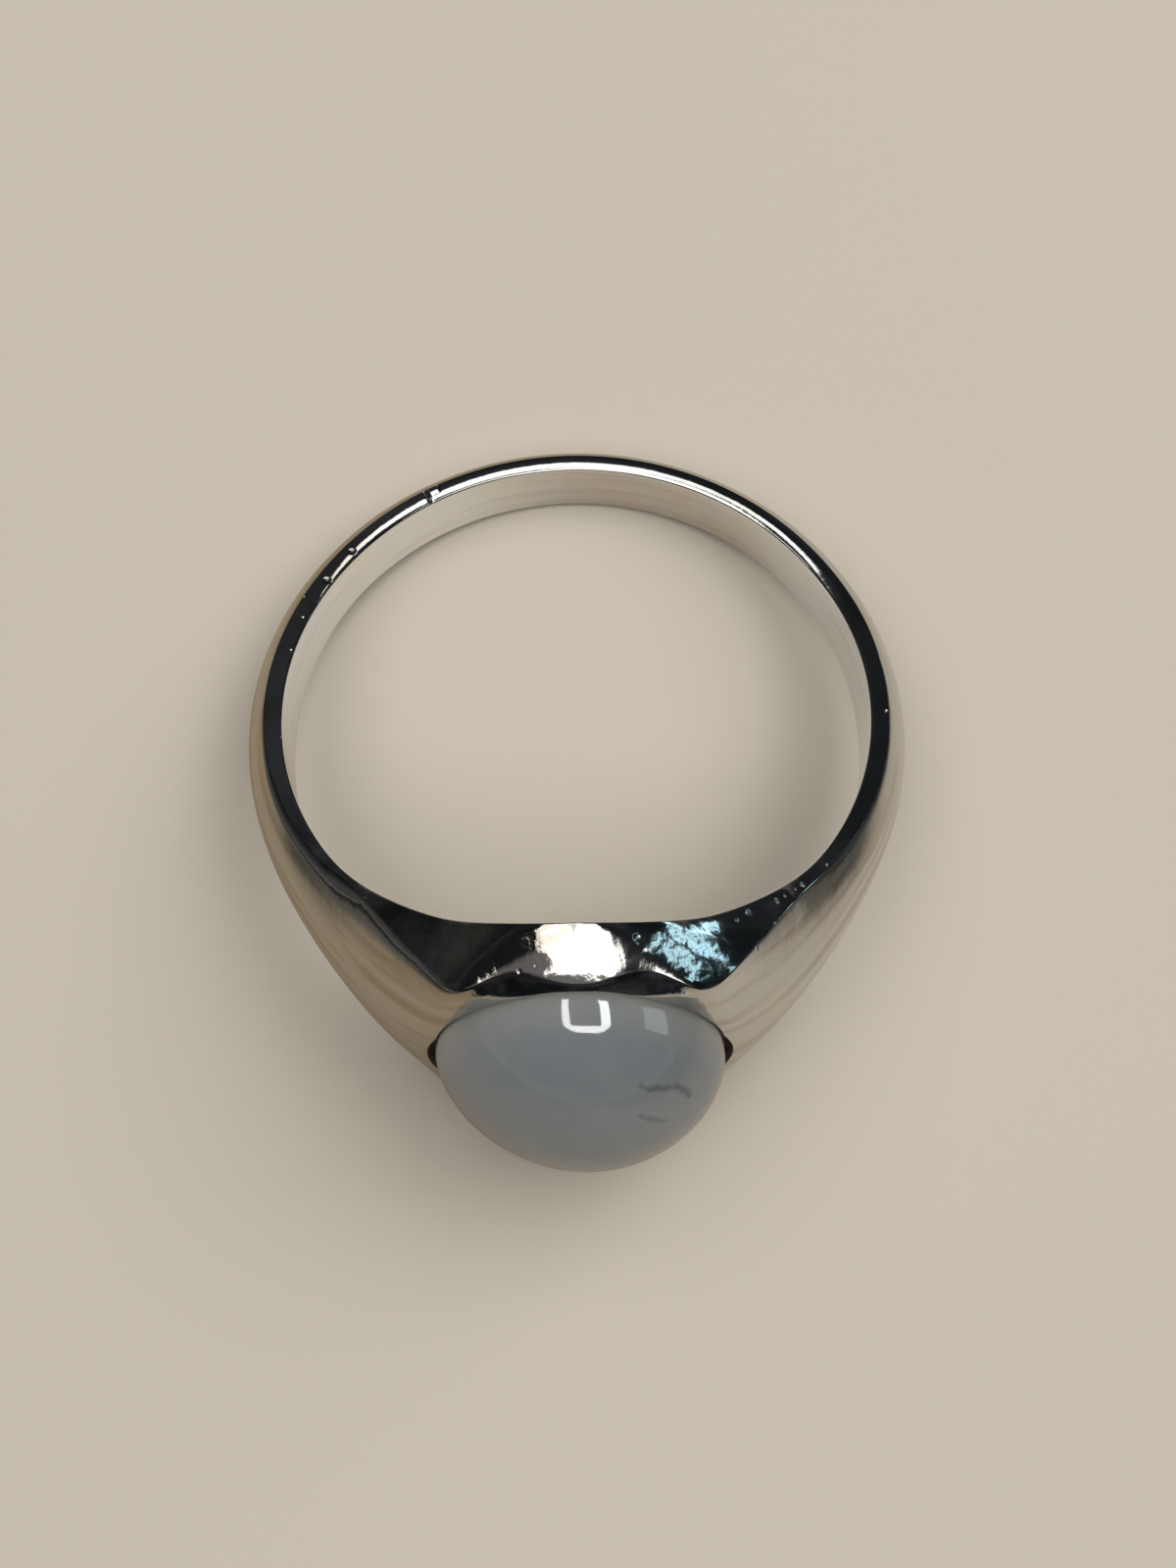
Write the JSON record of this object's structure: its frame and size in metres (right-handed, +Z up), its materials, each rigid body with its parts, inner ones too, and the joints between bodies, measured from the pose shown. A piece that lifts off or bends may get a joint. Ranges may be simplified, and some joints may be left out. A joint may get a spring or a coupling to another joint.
{
  "type": "moonstone signet ring",
  "caption": "Plain polished signet ring for a finger, with flared shoulders and an oval moonstone cabochon set in its head, lying on its side.",
  "frame": {"origin": "on the surface the ring lies on, below the middle of the ring's outline", "axes": "+Z up, +Y from the head to the back of the shank, +X across the ring; the finger hole's axis leans back from +Z towards +Y"},
  "size_m": [0.0242, 0.028, 0.0136],
  "materials": {
    "polished_silver": "polished",
    "moonstone": "polished"
  },
  "bodies": {
    "root": {"ring_body": "polished_silver", "moonstone": "moonstone"}
  },
  "joints": []
}
